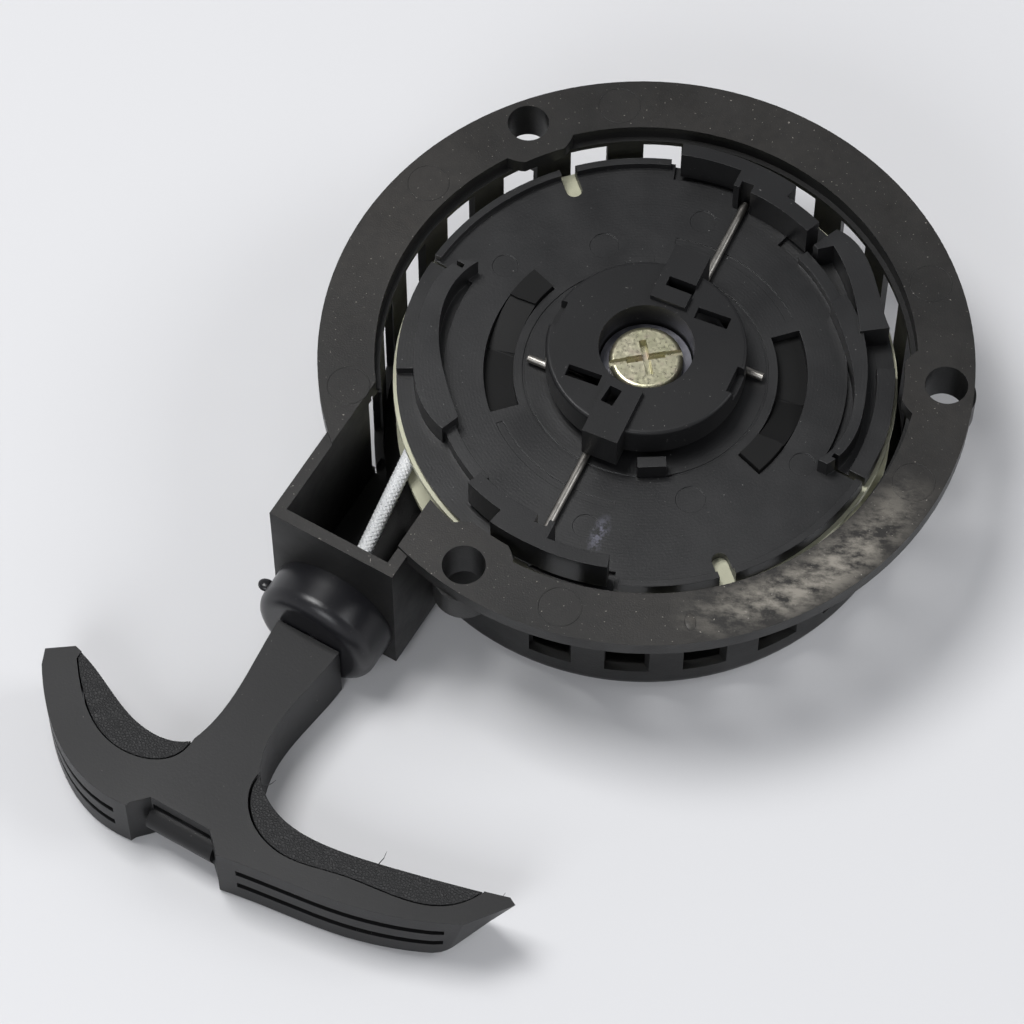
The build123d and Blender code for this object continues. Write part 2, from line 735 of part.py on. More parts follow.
def handle_outline():
    """Top view outline of the whole handle."""
    spline_through(left_inner)
    Polyline(*[exit_point(u, v) for u, v in left_tip])
    spline_through(left_outer)
    Line(exit_point(*left_outer[-1]), exit_point(*right_outer[0]))
    spline_through(right_outer)
    Polyline(*[exit_point(u, v) for u, v in right_tip])
    spline_through(right_inner)
    spline_through(stem_right)
    Line(exit_point(*stem_right[-1]), exit_point(*stem_left[0]))
    spline_through(stem_left)


def grip_insert(points):
    """Region of one soft grip, bounded by its seam and the finger side."""
    spline_through(points)
    last, first = points[-1], points[0]
    Line(exit_point(*last), exit_point(last[0] - 12, last[1]))
    Line(exit_point(last[0] - 12, last[1]), exit_point(first[0] - 12, first[1]))
    Line(exit_point(first[0] - 12, first[1]), exit_point(*first))


def inset(points):
    """Seam points drawn in by the gap between the grip and the handle."""
    middle = (points[0][1] + points[-1][1]) / 2
    reach = abs(points[-1][1] - points[0][1]) / 2
    return [(u - seam, v + seam * 1.4 * (middle - v) / reach) for u, v in points]


with BuildPart() as handle_blank:
    with BuildSketch(Plane.XY.offset(handle_low)):
        with BuildLine():
            handle_outline()
        make_face()
    extrude(amount=handle_t)

with BuildPart() as handle_body:
    add(handle_blank.part)
    # recess for the knot, open on the outer side
    with BuildSketch(Plane.XY.offset(handle_low + 3.2)):
        with Locations(exit_point(144.5, -36.0)):
            Rectangle(9.0, 16.0, rotation=exit_angle)
    extrude(amount=handle_t - 6.4, mode=Mode.SUBTRACT)
    with BuildSketch(Plane.XY.offset(handle_low - 1)):
        with BuildLine():
            Polyline(
                exit_point(150, -49.5),
                exit_point(145.6, -47.6),
                exit_point(142.2, -44.4),
                exit_point(142.2, -28.9),
                exit_point(146.2, -24.6),
                exit_point(150, -23.5),
                close=True,
            )
        make_face()
    extrude(amount=handle_t + 2, mode=Mode.SUBTRACT)
    # two long grooves along the outer side of each arm
    for level in (handle_top - 6.2, handle_top - 12.3):
        with BuildSketch(Plane.XY.offset(level - groove_h / 2)):
            for points in ([(131.0, -80.7), (142.2, -67.8), (145.9, -51.8)], [(145.4, -20.0), (142.0, 5.0), (135.5, 28.0)]):
                with BuildLine():
                    spline_through(points)
                trace(line_width=2 * groove_d)
        extrude(amount=groove_h, mode=Mode.SUBTRACT)
    # seats of the soft grips
    for points in (insert_left, insert_right):
        with BuildSketch(Plane.XY.offset(handle_low - 1)):
            with BuildLine():
                grip_insert(points)
            make_face()
        extrude(amount=handle_t + 2, mode=Mode.SUBTRACT)
    # bar across the recess, then the bore and pocket of the knotted rope
    bar_plane = Plane(
        origin=(*exit_point(141.6, -44.5), handle_top - handle_t / 2),
        x_dir=(0, 0, 1),
        z_dir=(*exit_point(0, 1), 0),
    )
    with BuildSketch(bar_plane):
        Circle(3.6)
    extrude(amount=17)
    add(exit_cylinder(rope_d / 2 + 0.25, stem_u - 1, knot_u), mode=Mode.SUBTRACT)
    add(exit_cylinder(knot_pocket_r, knot_u - 3.4, knot_u + 3.1), mode=Mode.SUBTRACT)
save(handle_body.part, "handle_body")

for points, label in ((insert_left, "handle_grip_left"), (insert_right, "handle_grip_right")):
    with BuildPart() as grip:
        with BuildSketch(Plane.XY.offset(handle_low + 0.3)):
            with BuildLine():
                grip_insert(inset(points))
            make_face()
        extrude(amount=handle_t - 0.6)
        add(handle_blank.part, mode=Mode.INTERSECT)
    save(grip.part, label)

with BuildPart() as handle_knot:
    with Locations((*exit_point(knot_u, exit_offset), hole_z)):
        Sphere(3.0)
save(handle_knot.part, "handle_knot")
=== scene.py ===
import bpy
import bmesh
import json
from math import cos, sin, radians, pi
from mathutils import Vector, Matrix, noise


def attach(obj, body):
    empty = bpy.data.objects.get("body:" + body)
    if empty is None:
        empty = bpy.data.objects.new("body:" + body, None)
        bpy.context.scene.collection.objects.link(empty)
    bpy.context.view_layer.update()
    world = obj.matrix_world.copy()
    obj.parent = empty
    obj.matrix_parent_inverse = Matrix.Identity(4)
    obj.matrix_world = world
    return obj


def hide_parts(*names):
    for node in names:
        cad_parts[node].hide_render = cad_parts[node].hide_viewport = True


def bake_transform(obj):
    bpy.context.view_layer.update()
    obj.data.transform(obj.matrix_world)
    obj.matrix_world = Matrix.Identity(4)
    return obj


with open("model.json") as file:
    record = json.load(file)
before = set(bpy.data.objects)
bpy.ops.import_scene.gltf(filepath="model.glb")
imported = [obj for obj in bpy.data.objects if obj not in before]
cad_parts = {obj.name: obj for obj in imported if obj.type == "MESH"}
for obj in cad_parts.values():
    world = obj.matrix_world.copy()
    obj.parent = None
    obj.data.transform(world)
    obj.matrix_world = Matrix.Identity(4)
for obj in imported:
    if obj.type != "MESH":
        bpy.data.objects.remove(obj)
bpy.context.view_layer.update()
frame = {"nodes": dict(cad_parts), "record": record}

MM = 0.001

# the rope's way out, as in the CAD: direction, box face, sideways offset and height of the hole
EXIT = radians(246.2)
EXIT_FACE = 78.7
OFFSET = -35.6
HOLE_Z = -29.5

# the height of the handle's upper face, and the handle's thickness
HANDLE_TOP = -26.0
HANDLE_T = 18.5


def at_exit(u, v, z):
    """A point along and across the rope exit axis, in metres."""
    return Vector((u * cos(EXIT) - v * sin(EXIT), u * sin(EXIT) + v * cos(EXIT), z)) * MM


def polar(r, a, z):
    """A point by radius and angle round the reel axis, in metres."""
    return Vector((r * cos(radians(a)), r * sin(radians(a)), z)) * MM


# ---------------------------------------------------------------- materials
class Nodes:
    """Small helper that builds one procedural material."""

    def __init__(self, name):
        self.mat = bpy.data.materials.new(name)
        self.mat.use_nodes = True
        self.tree = self.mat.node_tree
        self.bsdf = self.tree.nodes["Principled BSDF"]
        self.coord = self.new("ShaderNodeTexCoord")

    def new(self, kind, **settings):
        node = self.tree.nodes.new(kind)
        for key, value in settings.items():
            setattr(node, key, value)
        return node

    def link(self, a, b):
        self.tree.links.new(a, b)

    def noise(self, scale, detail=3.0, rough=0.55, stretch=None):
        tex = self.new("ShaderNodeTexNoise")
        tex.inputs["Scale"].default_value = scale
        tex.inputs["Detail"].default_value = detail
        tex.inputs["Roughness"].default_value = rough
        source = self.coord.outputs["Object"]
        if stretch:
            mapping = self.new("ShaderNodeMapping")
            mapping.inputs["Scale"].default_value = stretch
            self.link(source, mapping.inputs["Vector"])
            source = mapping.outputs["Vector"]
        self.link(source, tex.inputs["Vector"])
        return tex.outputs["Fac"]

    def ramp(self, value, low, high, out_low=0.0, out_high=1.0):
        node = self.new("ShaderNodeMapRange")
        node.inputs["From Min"].default_value = low
        node.inputs["From Max"].default_value = high
        node.inputs["To Min"].default_value = out_low
        node.inputs["To Max"].default_value = out_high
        self.link(value, node.inputs["Value"])
        return node.outputs["Result"]

    def math(self, op, a, b):
        node = self.new("ShaderNodeMath", operation=op)
        for socket, value in zip(node.inputs, (a, b)):
            if isinstance(value, (int, float)):
                socket.default_value = value
            else:
                self.link(value, socket)
        return node.outputs["Value"]

    def mix(self, fac, a, b):
        node = self.new("ShaderNodeMix", data_type="RGBA")
        for socket, value in zip((node.inputs[0], node.inputs[6], node.inputs[7]), (fac, a, b)):
            if isinstance(value, (int, float)):
                socket.default_value = value
            elif isinstance(value, tuple):
                socket.default_value = (*value, 1.0)
            else:
                self.link(value, socket)
        return node.outputs[2]

    def bump(self, height, distance, strength=1.0, normal=None):
        node = self.new("ShaderNodeBump")
        node.inputs["Distance"].default_value = distance
        node.inputs["Strength"].default_value = strength
        self.link(height, node.inputs["Height"])
        if normal is not None:
            self.link(normal, node.inputs["Normal"])
        return node.outputs["Normal"]

    def done(self, color=None, rough=None, normal=None, metallic=0.0, specular=0.5):
        for name, value in (("Base Color", color), ("Roughness", rough), ("Normal", normal)):
            if value is None:
                continue
            if isinstance(value, tuple):
                self.bsdf.inputs[name].default_value = (*value, 1.0)
            elif isinstance(value, (int, float)):
                self.bsdf.inputs[name].default_value = value
            else:
                self.link(value, self.bsdf.inputs[name])
        self.bsdf.inputs["Metallic"].default_value = metallic
        self.bsdf.inputs["Specular IOR Level"].default_value = specular
        return self.mat


def moulded(
    name, dark, pale, rough_low, rough_high, grain=2600.0, grain_h=0.00004, specks=0.0, gloss=0.4
):
    """Moulded plastic: uneven sheen, fine grain and pale specks."""
    n = Nodes(name)
    color = n.mix(n.ramp(n.noise(16.0, 4.0), 0.3, 0.72), dark, pale)
    if specks:
        speck = n.ramp(n.noise(1500.0, 2.0), 0.735, 0.77)
        color = n.mix(n.math("MULTIPLY", speck, specks), color, (0.42, 0.41, 0.39))
    middle = (rough_low + rough_high) / 2
    sheen = n.noise(45.0, 3.0, 0.5)
    rough = n.ramp(sheen, 0.3, 0.7, (rough_low + middle) / 2, (rough_high + middle) / 2)
    fine = n.bump(n.noise(grain, 2.0), grain_h)
    wavy = n.bump(n.noise(40.0, 1.0), 0.00015, 0.25, fine)
    return n.done(color, rough, wavy, specular=gloss)


def turned(name, dark, pale, rough_low, rough_high):
    """Moulded disc with concentric tool marks and one small patch of painted sheen."""
    n = Nodes(name)
    color = n.mix(n.ramp(n.noise(60.0, 4.0), 0.3, 0.7), dark, pale)
    wave = n.new("ShaderNodeTexWave", wave_type="RINGS", rings_direction="Z", wave_profile="SIN")
    wave.inputs["Scale"].default_value = 420.0
    wave.inputs["Distortion"].default_value = 1.2
    wave.inputs["Detail"].default_value = 2.0
    n.link(n.coord.outputs["Object"], wave.inputs["Vector"])
    rings = n.bump(wave.outputs["Fac"], 0.000008, 0.4)
    fine = n.bump(n.noise(1900.0, 2.0), 0.00003, 0.8, rings)
    speck = n.ramp(n.noise(1300.0, 2.0), 0.74, 0.78)
    color = n.mix(n.math("MULTIPLY", speck, 0.6), color, (0.35, 0.35, 0.34))
    # a small radial patch of painted sheen, lighter and bluish, on the front of the disc
    patch = n.new("ShaderNodeMapping", vector_type="TEXTURE")
    patch.inputs["Location"].default_value = (-0.0058, -0.0440, -0.0077)
    patch.inputs["Rotation"].default_value = (0.0, 0.0, radians(75.0))
    patch.inputs["Scale"].default_value = (0.0060, 0.0024, 0.004)
    n.link(n.coord.outputs["Object"], patch.inputs["Vector"])
    far = n.new("ShaderNodeVectorMath", operation="LENGTH")
    n.link(patch.outputs["Vector"], far.inputs[0])
    ragged = n.ramp(n.noise(700.0, 4.0, 0.7), 0.46, 0.6)
    painted_sheen = n.math("MULTIPLY", n.ramp(far.outputs["Value"], 1.0, 0.3), ragged)
    color = n.mix(n.math("MULTIPLY", painted_sheen, 0.7), color, (0.13, 0.13, 0.17))
    rough = n.ramp(n.noise(70.0, 4.0), 0.3, 0.7, rough_low, rough_high)
    return n.done(color, rough, fine)


def metal(name, dark, pale, rough_low, rough_high, scratch=900.0):
    """Plated or drawn metal with fine scratches."""
    n = Nodes(name)
    color = n.mix(n.ramp(n.noise(240.0, 4.0), 0.3, 0.7), dark, pale)
    rough = n.ramp(n.noise(scratch, 3.0, 0.6, (1.0, 6.0, 1.0)), 0.3, 0.7, rough_low, rough_high)
    normal = n.bump(n.noise(scratch * 2, 2.0), 0.00003, 0.6)
    return n.done(color, rough, normal, metallic=1.0)


def flange_material(name):
    """Black glass-filled nylon, dusty: brownish bloom on upward faces and one streak of painted sheen along
    the rim.
    """
    n = Nodes(name)
    geo = n.new("ShaderNodeNewGeometry")
    split = n.new("ShaderNodeSeparateXYZ")
    n.link(n.coord.outputs["Object"], split.inputs["Vector"])
    facing = n.new("ShaderNodeSeparateXYZ")
    n.link(geo.outputs["Normal"], facing.inputs["Vector"])
    upward = n.ramp(facing.outputs["Z"], 0.6, 0.95)
    top = n.math("MULTIPLY", upward, n.ramp(split.outputs["Z"], -0.0035, -0.001))
    color = n.mix(n.ramp(n.noise(60.0, 3.0), 0.3, 0.7), (0.007, 0.007, 0.007), (0.011, 0.0108, 0.0105))
    bloom = n.math("MULTIPLY", top, n.ramp(n.noise(14.0, 2.0, 0.5), 0.30, 0.75))
    bloom = n.math("MULTIPLY", bloom, n.ramp(n.noise(420.0, 3.0), 0.25, 0.65, 0.55, 1.0))
    color = n.mix(n.math("MULTIPLY", bloom, 0.55), color, (0.048, 0.043, 0.038))
    # streak of painted sheen that follows the rim, by radius and angle round the reel axis
    x_squared = n.math("POWER", split.outputs["X"], 2.0)
    y_squared = n.math("POWER", split.outputs["Y"], 2.0)
    radius = n.math("SQRT", n.math("ADD", x_squared, y_squared), 0.0)
    turn = n.math("ARCTAN2", split.outputs["Y"], split.outputs["X"])
    from_middle = n.math("ABSOLUTE", n.math("SUBTRACT", radius, 0.0685), 0.0)
    band = n.ramp(from_middle, 0.0075, 0.002)
    from_centre = n.math("ABSOLUTE", n.math("SUBTRACT", turn, radians(-50.0)), 0.0)
    span = n.ramp(from_centre, radians(30.0), radians(9.0))
    painted_sheen = n.math("MULTIPLY", n.math("MULTIPLY", band, span), top)
    ragged = n.ramp(n.noise(130.0, 5.0, 0.7, (1.0, 1.8, 1.0)), 0.40, 0.60)
    color = n.mix(n.math("MULTIPLY", n.math("MULTIPLY", painted_sheen, ragged), 0.85), color, (0.26, 0.24, 0.205))
    speck = n.ramp(n.noise(1500.0, 2.0), 0.70, 0.74)
    color = n.mix(n.math("MULTIPLY", speck, n.math("MULTIPLY", top, 0.75)), color, (0.30, 0.28, 0.25))
    rough = n.ramp(n.noise(80.0, 5.0, 0.6), 0.3, 0.7, 0.36, 0.52)
    fine = n.bump(n.noise(2400.0, 2.0), 0.00005, 0.9)
    wavy = n.bump(n.noise(60.0, 2.0), 0.0002, 0.3, fine)
    return n.done(color, rough, wavy, specular=0.30)


def zinc_material(name):
    """Yellow zinc plate with a greenish and rosy cast."""
    n = Nodes(name)
    color = n.mix(n.ramp(n.noise(150.0, 2.0), 0.3, 0.7), (0.50, 0.49, 0.33), (0.60, 0.56, 0.42))
    color = n.mix(n.ramp(n.noise(330.0, 1.0), 0.55, 0.8), color, (0.56, 0.47, 0.38))
    rough = n.ramp(n.noise(1200.0, 3.0), 0.3, 0.7, 0.24, 0.42)
    normal = n.bump(n.noise(900.0, 3.0), 0.00006, 0.6)
    return n.done(color, rough, normal, metallic=0.9)


FINE = 0.00002  # height of the finest moulded grain, in metres

MATS = {
    "housing": flange_material("housing_black"),
    "seat": moulded(
        "seat_black", (0.007, 0.007, 0.0085), (0.011, 0.011, 0.013), 0.26, 0.36, grain_h=0.00001, specks=0.3
    ),
    "handle": moulded(
        "handle_black", (0.009, 0.009, 0.0095), (0.011, 0.011, 0.0115), 0.38, 0.48,
        grain=1700.0, grain_h=FINE, specks=0.3, gloss=0.26,
    ),
    "disc": turned("disc_black", (0.006, 0.006, 0.0065), (0.010, 0.010, 0.0105), 0.32, 0.42),
    "hub": moulded(
        "hub_black", (0.007, 0.007, 0.0075), (0.011, 0.011, 0.0115), 0.36, 0.46,
        grain_h=FINE, specks=0.4, gloss=0.28,
    ),
    "pawl": moulded(
        "pawl_black", (0.006, 0.006, 0.0065), (0.010, 0.010, 0.0105), 0.32, 0.42, grain_h=FINE, specks=0.3
    ),
    "ring": moulded(
        "ring_black", (0.005, 0.005, 0.005), (0.008, 0.008, 0.008), 0.5, 0.6, grain_h=FINE, gloss=0.15
    ),
    "reel": moulded("reel_cream", (0.50, 0.50, 0.36), (0.62, 0.61, 0.47), 0.38, 0.5),
    "wire": metal("wire_steel", (0.20, 0.19, 0.175), (0.36, 0.345, 0.32), 0.3, 0.45),
    "spring": metal("spring_steel", (0.10, 0.10, 0.12), (0.2, 0.2, 0.22), 0.28, 0.45),
    "plate": metal("plate_steel", (0.35, 0.36, 0.37), (0.5, 0.5, 0.52), 0.25, 0.45),
    "screw": zinc_material("yellow_zinc"),
}


def grip_material():
    """Soft grip with a fine leather grain."""
    n = Nodes("grip_grain")
    cell = n.new("ShaderNodeTexVoronoi", feature="DISTANCE_TO_EDGE")
    cell.inputs["Scale"].default_value = 1500.0
    n.link(n.coord.outputs["Object"], cell.inputs["Vector"])
    cracks = n.ramp(cell.outputs["Distance"], 0.0, 0.25)
    grain = n.bump(cracks, 0.00012, 0.8)
    fine = n.bump(n.noise(2600.0, 2.0), 0.00005, 0.7, grain)
    # the creases of the grain are painted darker: painted shade in the creases
    color = n.mix(cracks, (0.005, 0.005, 0.0055), (0.012, 0.012, 0.0125))
    return n.done(color, 0.55, fine, specular=0.4)


def rope_material():
    """Pale silky synthetic braid."""
    n = Nodes("rope_braid")
    tone = n.ramp(n.noise(500.0, 3.0), 0.3, 0.7)
    color = n.mix(tone, (0.82, 0.835, 0.85), (0.97, 0.975, 0.98))
    fibre = n.bump(n.noise(5200.0, 2.0), 0.00005, 0.6)
    return n.done(color, 0.42, fibre, specular=0.6)


MATS["grip"] = grip_material()
MATS["rope"] = rope_material()


def paint(obj, key):
    """Gives an object one material."""
    obj.data.materials.clear()
    obj.data.materials.append(MATS[key])


# ---------------------------------------------------------------- moulded pieces
BODY_OF = {}
for body, names in frame["record"]["behaviour"]["bodies"].items():
    for name in names:
        BODY_OF[name] = body


EDGE_ANGLE = 35.0  # degrees, an edge sharper than this is rounded
FLAT_ANGLE = 0.6  # degrees, faces closer to flat than this are joined first
WELD = 2e-6  # metres, points closer than this become one


def softened(node, key, width, segments=2):
    """A copy of a CAD piece with welded faces and small rounded edges."""
    source = frame["nodes"][node]
    mesh = source.data.copy()
    obj = bpy.data.objects.new("soft_" + node, mesh)
    bpy.context.scene.collection.objects.link(obj)
    bm = bmesh.new()
    bm.from_mesh(mesh)
    bmesh.ops.remove_doubles(bm, verts=bm.verts, dist=WELD)
    bmesh.ops.dissolve_limit(
        bm, angle_limit=radians(FLAT_ANGLE), use_dissolve_boundaries=False, verts=bm.verts, edges=bm.edges
    )
    bmesh.ops.recalc_face_normals(bm, faces=bm.faces)
    for face in bm.faces:
        face.smooth = True
    bm.to_mesh(mesh)
    bm.free()
    if mesh.attributes.get("custom_normal"):
        mesh.attributes.remove(mesh.attributes["custom_normal"])
    bevel = obj.modifiers.new("round", "BEVEL")
    bevel.width = width * MM
    bevel.segments = segments
    bevel.limit_method = "ANGLE"
    bevel.angle_limit = radians(EDGE_ANGLE)
    bevel.use_clamp_overlap = True
    bevel.harden_normals = False
    bevel.miter_outer = "MITER_ARC"
    normal = obj.modifiers.new("normals", "WEIGHTED_NORMAL")
    normal.keep_sharp = False
    normal.weight = 80
    paint(obj, key)
    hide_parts(node)
    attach(obj, BODY_OF[node])
    return obj


softened("housing", "housing", 0.45)
handle = softened("handle_body", "handle", 0.8, segments=3)
softened("drive_disc", "disc", 0.22)
softened("friction_hub", "hub", 0.35)
softened("pawl_a", "pawl", 0.35)
softened("pawl_b", "pawl", 0.35)
grips = [
    softened("handle_grip_left", "grip", 0.5, segments=3),
    softened("handle_grip_right", "grip", 0.5, segments=3),
]


def step(value, low, high):
    """Smooth step from 0 at low to 1 at high."""
    t = min(max((value - low) / (high - low), 0.0), 1.0)
    return t * t * (3 - 2 * t)


# across the exit axis, with the right tip at its high end and the left tip at its low end
ACROSS = Vector((-sin(EXIT), cos(EXIT), 0))

# how far the arms thin and lean, with the stretch over which each grows, in millimetres;
# the left stretches are counted towards the left tip
RIGHT_THIN = 0.14
RIGHT_THIN_OVER = (0.0, 39.0)
LEFT_THIN = 0.12
LEFT_THIN_OVER = (58.0, 86.0)
TIP_LEAN = 6.5
TIP_LEAN_OVER = (24.0, 39.0)
GRIP_SHIFT = 0.32
RIGHT_GRIP_OVER = (22.0, 30.0)
LEFT_GRIP_OVER = (70.0, 77.0)


def taper_arms(obj):
    """Thins the arms towards their tips from below and leans the right tip inwards."""
    for vert in obj.data.vertices:
        v = vert.co.dot(ACROSS) / MM
        drop = (HANDLE_TOP - vert.co.z / MM) / HANDLE_T
        lean = TIP_LEAN * step(v, *TIP_LEAN_OVER) * drop
        vert.co -= ACROSS * lean * MM
        thin = RIGHT_THIN * step(v, *RIGHT_THIN_OVER) + LEFT_THIN * step(-v, *LEFT_THIN_OVER)
        vert.co.z = (HANDLE_TOP + (vert.co.z / MM - HANDLE_TOP) * (1 - thin)) * MM


def tighten_tips(obj):
    """Moves the outer end of a soft grip against its seam in the handle."""
    for vert in obj.data.vertices:
        v = vert.co.dot(ACROSS) / MM
        vert.co += ACROSS * GRIP_SHIFT * (step(v, *RIGHT_GRIP_OVER) - step(-v, *LEFT_GRIP_OVER)) * MM


for piece in [handle] + grips:
    taper_arms(piece)
for piece in grips:
    tighten_tips(piece)


# circles left by ejector pins on the flange, by angle round the reel axis
MARK_ANGLES = (23.0, 101.5, 144.2, 194.1, 260.0, 337.5)
MARK_CIRCLE_R = 68.3
MARK_Z = -0.06
MARK_R = 4.85
MARK_LINE_R = 0.16


def ring_mark(name, centre, radius, thick, body, key):
    """A thin raised circle, as an ejector pin leaves in a moulding."""
    bpy.ops.mesh.primitive_torus_add(
        major_radius=radius * MM,
        minor_radius=thick * MM,
        major_segments=48,
        minor_segments=8,
        location=centre,
    )
    mark = bpy.context.object
    mark.name = name
    mark.data.transform(mark.matrix_world)
    mark.matrix_world = Matrix.Identity(4)
    for poly in mark.data.polygons:
        poly.use_smooth = True
    paint(mark, key)
    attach(mark, body)


for k, angle in enumerate(MARK_ANGLES):
    centre = polar(MARK_CIRCLE_R, angle, MARK_Z)
    ring_mark(f"flange_mark_{k}", centre, MARK_R, MARK_LINE_R, "base", "housing")


def lump(name, centre, sizes, body, key, turn=0.0):
    """A small, slightly uneven lump of moulding flash."""
    bpy.ops.mesh.primitive_uv_sphere_add(segments=20, ring_count=12, radius=1.0, location=(0, 0, 0))
    piece = bpy.context.object
    piece.name = name
    spin = Matrix.Rotation(turn, 4, "Z") @ Matrix.Diagonal((*[x * MM for x in sizes], 1.0))
    piece.data.transform(Matrix.Translation(centre) @ spin)
    for vert in piece.data.vertices:
        vert.co += noise.noise_vector(vert.co * 500.0) * 0.00012
    for poly in piece.data.polygons:
        poly.use_smooth = True
    paint(piece, key)
    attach(piece, body)


NUB_AT = at_exit(EXIT_FACE + 4.6, OFFSET - 15.7, HOLE_Z + 2.2)
SCAR_AT = polar(69.7, 284.2, 0.0)
lump("seat_nub", NUB_AT, (1.6, 2.0, 0.9), "base", "seat", EXIT)
lump("sprue_scar", SCAR_AT, (2.3, 1.3, 0.28), "base", "housing", radians(284.0))

# a hair is a three-sided strand of this radius in metres, bent a little and thin at its tip
HAIR_R = 0.00013
HAIR_BEND = 2.2
HAIR_TURNS = (0, 2.09, 4.19)


def hair(name, root, tip, body):
    """A fine hair of flash left along the seam."""
    side = (tip - root).cross(Vector((0, 0, 1))).normalized() * HAIR_R
    mesh = bpy.data.meshes.new(name)
    mid = root.lerp(tip, 0.55) + side * HAIR_BEND
    verts = []
    for centre, scale in ((root, 1.0), (mid, 0.8), (tip, 0.35)):
        for w in HAIR_TURNS:
            verts.append(centre + side * cos(w) * scale + Vector((0, 0, HAIR_R)) * sin(w) * scale)
    faces = [(2, 1, 0), (6, 7, 8)]
    for base in (0, 3):
        for j in range(3):
            faces.append((base + j, base + (j + 1) % 3, base + 3 + (j + 1) % 3, base + 3 + j))
    mesh.from_pydata(verts, [], faces)
    strand = bpy.data.objects.new(name, mesh)
    bpy.context.scene.collection.objects.link(strand)
    paint(strand, "handle")
    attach(strand, body)


hair("flash_hair_a", at_exit(130.2, 7.5, -26.8), at_exit(127.2, 8.1, -24.6), "handle")
hair("flash_hair_b", at_exit(126.4, -24.3, -27.0), at_exit(124.4, -22.6, -25.9), "handle")
hair("flash_hair_c", at_exit(123.4, 34.4, -27.0), at_exit(121.8, 35.4, -25.9), "handle")

# ---------------------------------------------------------------- pieces shown as the CAD has them
for node, key in (
    ("rope_eyelet", "plate"),
    ("handle_seat", "seat"),
    ("handle_knot", "rope"),
    ("rope_coil", "rope"),
    ("reel_knot", "rope"),
    ("rope_reel", "reel"),
    ("recoil_spring", "spring"),
    ("spring_plate", "plate"),
    ("damper_spring", "spring"),
    ("coupling_ring", "ring"),
    ("hub_wire_a", "wire"),
    ("hub_wire_b", "wire"),
    ("friction_spring", "spring"),
    ("center_screw", "screw"),
    ("screw_washer", "spring"),
    ("post_sleeve", "plate"),
):
    paint(frame["nodes"][node], key)

# ---------------------------------------------------------------- braided rope
# the rope's sizes and route, in millimetres
ROPE_R = 1.9
ROPE_Z = -14.5
COIL_R = 43.0
COIL_ANGLE = 161.7  # degrees, where the rope leaves the coil
BOX_WALL = 2.8
BEND_RUN = 7.0  # length of the bend on each side of the hole
ROPE_END = 134.8  # end of the rope inside the handle, along the exit axis
ROPE_STEP = 0.4
BEND_STEPS = 24
CORE_INSET = 0.75
STRAND_INSET = 0.42
STRAND_THICK = 0.34
WEAVE = 0.16


def rope_path():
    """Centre line of the free run, in millimetres: off the coil, through the box and into the handle."""
    start = polar(COIL_R, COIL_ANGLE, ROPE_Z) / MM
    hole = at_exit(EXIT_FACE - BOX_WALL, OFFSET, HOLE_Z) / MM
    down = (hole - start).normalized()
    out = (at_exit(1, 0, 0) / MM).normalized()
    a = hole - down * BEND_RUN
    b = hole + out * BEND_RUN
    end = at_exit(ROPE_END, OFFSET, HOLE_Z) / MM
    points = []
    steps = int((a - start).length / ROPE_STEP)
    for k in range(steps):
        points.append(start.lerp(a, k / steps))
    for k in range(BEND_STEPS):
        t = k / BEND_STEPS
        points.append((1 - t) ** 2 * a + 2 * t * (1 - t) * hole + t * t * b)
    steps = int((end - b).length / ROPE_STEP)
    for k in range(steps + 1):
        points.append(b.lerp(end, k / steps))
    return points


def braid(name, points, strands=8, pitch=9.0, strand_r=0.62, sides=7):
    """Braided cord: two sets of helical strands that weave over and under, round a core."""
    bm = bmesh.new()
    tangents = []
    for k in range(len(points)):
        tangents.append((points[min(k + 1, len(points) - 1)] - points[max(k - 1, 0)]).normalized())
    up = Vector((0, 0, 1))
    frames = []
    side = tangents[0].cross(up).normalized()
    for t in tangents:
        side = (side - t * side.dot(t)).normalized()
        frames.append((side, t.cross(side)))
    dist = [0.0]
    for k in range(1, len(points)):
        dist.append(dist[-1] + (points[k] - points[k - 1]).length)

    def tube(centres, radius_a, radius_b, normals, count):
        rings = []
        for c, (n, b) in zip(centres, normals):
            ring = []
            for j in range(count):
                w = 2 * pi * j / count
                ring.append(bm.verts.new((c + n * radius_a * cos(w) + b * radius_b * sin(w)) * MM))
            rings.append(ring)
        for r0, r1 in zip(rings, rings[1:]):
            for j in range(count):
                bm.faces.new((r0[j], r0[(j + 1) % count], r1[(j + 1) % count], r1[j]))
        bm.faces.new(list(reversed(rings[0])))
        bm.faces.new(rings[-1])

    tube(points, ROPE_R - CORE_INSET, ROPE_R - CORE_INSET, frames, 12)
    for direction in (1, -1):
        for s in range(strands):
            centres = []
            normals = []
            for p, (n, b), d, t in zip(points, frames, dist, tangents):
                phase = direction * 2 * pi * d / pitch + 2 * pi * s / strands
                over = direction * cos(strands * (2 * pi * d / pitch)) * WEAVE
                radius = ROPE_R - STRAND_INSET + over
                radial = n * cos(phase) + b * sin(phase)
                centres.append(p + radial * radius)
                normals.append((radial, t.cross(radial)))
            tube(centres, STRAND_THICK, strand_r, normals, sides)
    mesh = bpy.data.meshes.new(name)
    bm.to_mesh(mesh)
    bm.free()
    for poly in mesh.polygons:
        poly.use_smooth = True
    obj = bpy.data.objects.new(name, mesh)
    bpy.context.scene.collection.objects.link(obj)
    obj.data.materials.append(MATS["rope"])
    return obj


rope = braid("rope_line", rope_path())
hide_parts("rope_run")
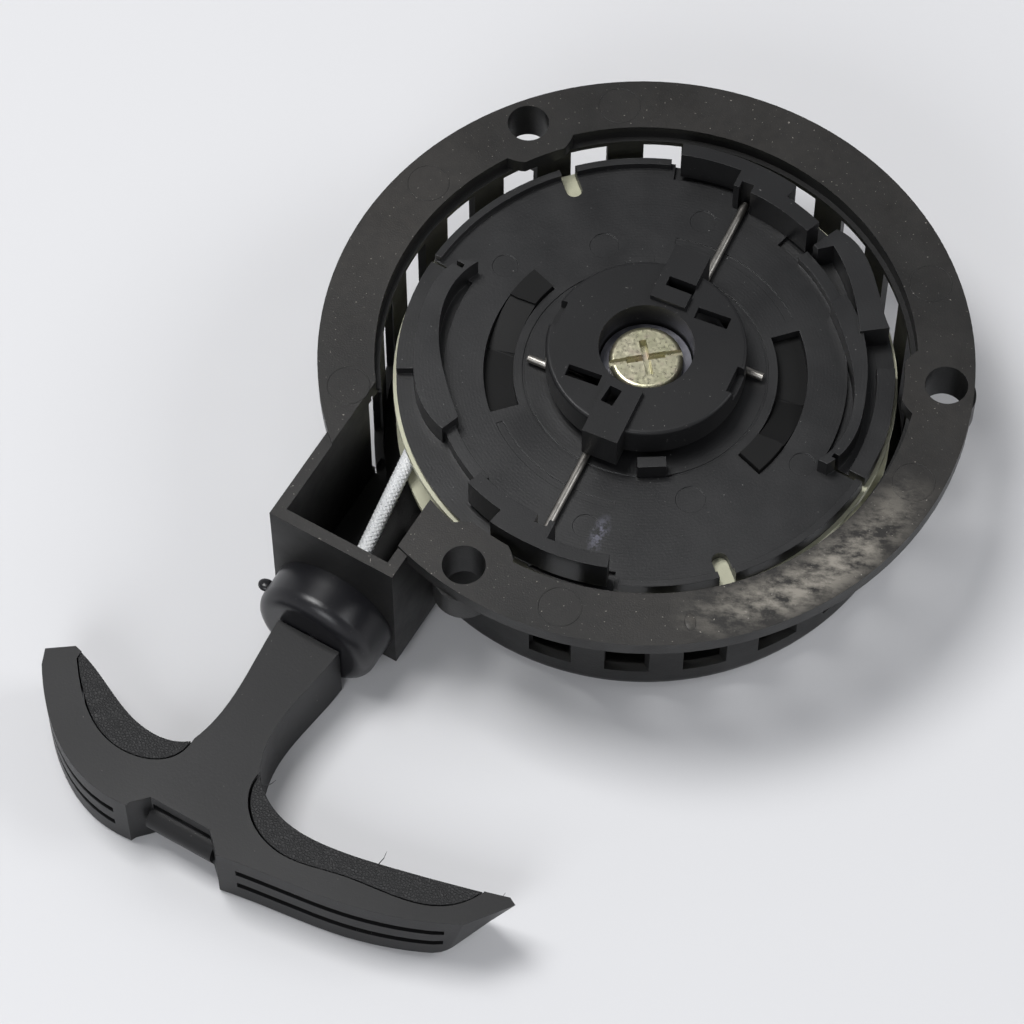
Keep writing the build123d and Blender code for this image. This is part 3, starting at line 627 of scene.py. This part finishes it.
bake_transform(rope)

# ---------------------------------------------------------------- floor, light and camera
FLOOR = -0.0452
HALF = 2  # half the floor's side
corners = [(-HALF, -HALF, FLOOR), (HALF, -HALF, FLOOR), (HALF, HALF, FLOOR), (-HALF, HALF, FLOOR)]
floor_mesh = bpy.data.meshes.new("floor")
floor_mesh.from_pydata(corners, [], [(0, 1, 2, 3)])
floor = bpy.data.objects.new("floor", floor_mesh)
bpy.context.scene.collection.objects.link(floor)
floor_mat = bpy.data.materials.new("paper_white")
floor_mat.use_nodes = True
floor_bsdf = floor_mat.node_tree.nodes["Principled BSDF"]
floor_bsdf.inputs["Base Color"].default_value = (0.64, 0.64, 0.651, 1)
floor_bsdf.inputs["Roughness"].default_value = 0.9
floor_mesh.materials.append(floor_mat)


def area(name, where, aim, size, power, tint=(1, 1, 1)):
    """A square soft light aimed at a point."""
    data = bpy.data.lights.new(name, "AREA")
    data.size = size
    data.energy = power
    data.color = tint
    obj = bpy.data.objects.new(name, data)
    bpy.context.scene.collection.objects.link(obj)
    obj.location = where
    obj.rotation_euler = (Vector(aim) - Vector(where)).to_track_quat("-Z", "Y").to_euler()


area("key", (-0.42, 0.12, 1.15), (0, 0, 0), 0.5, 12.0)
area("fill", (0.95, 0.1, 0.9), (0, 0, 0), 0.6, 4.5, (0.97, 0.98, 1.0))
area("front", (-0.3, -0.95, 0.75), (-0.03, -0.05, -0.03), 0.5, 4.5, (0.95, 0.97, 1.0))
world = bpy.data.worlds.new("studio")
bpy.context.scene.world = world
world.use_nodes = True
sky = world.node_tree.nodes
background = sky["Background"]
background.inputs["Strength"].default_value = 1.0
sky_coord = sky.new("ShaderNodeTexCoord")
sky_split = sky.new("ShaderNodeSeparateXYZ")
sky_ramp = sky.new("ShaderNodeValToRGB")
world.node_tree.links.new(sky_coord.outputs["Generated"], sky_split.inputs["Vector"])
world.node_tree.links.new(sky_split.outputs["Z"], sky_ramp.inputs["Fac"])
world.node_tree.links.new(sky_ramp.outputs["Color"], background.inputs["Color"])
sky_ramp.color_ramp.elements[0].position = 0.15
sky_ramp.color_ramp.elements[0].color = (0.66, 0.66, 0.68, 1)
sky_ramp.color_ramp.elements[1].position = 0.75
sky_ramp.color_ramp.elements[1].color = (0.16, 0.165, 0.175, 1)
bpy.context.scene.view_settings.view_transform = "Standard"

CAMERA_AT = (0.03658, -0.54097, 0.89700)
CAMERA_FORWARD = (-0.06027, 0.48317, -0.87345)
CAMERA_RIGHT = (0.99247, 0.12248, -0.0007)
camera_data = bpy.data.cameras.new("camera")
camera_data.lens = 161.5
camera_data.sensor_width = 36.0
camera = bpy.data.objects.new("camera", camera_data)
bpy.context.scene.collection.objects.link(camera)
right = Vector(CAMERA_RIGHT).normalized()
forward = Vector(CAMERA_FORWARD).normalized()
up = right.cross(forward).normalized()
right = forward.cross(up).normalized()
camera.matrix_world = Matrix(
    (
        (right.x, up.x, -forward.x, CAMERA_AT[0]),
        (right.y, up.y, -forward.y, CAMERA_AT[1]),
        (right.z, up.z, -forward.z, CAMERA_AT[2]),
        (0, 0, 0, 1),
    )
)
bpy.context.scene.camera = camera
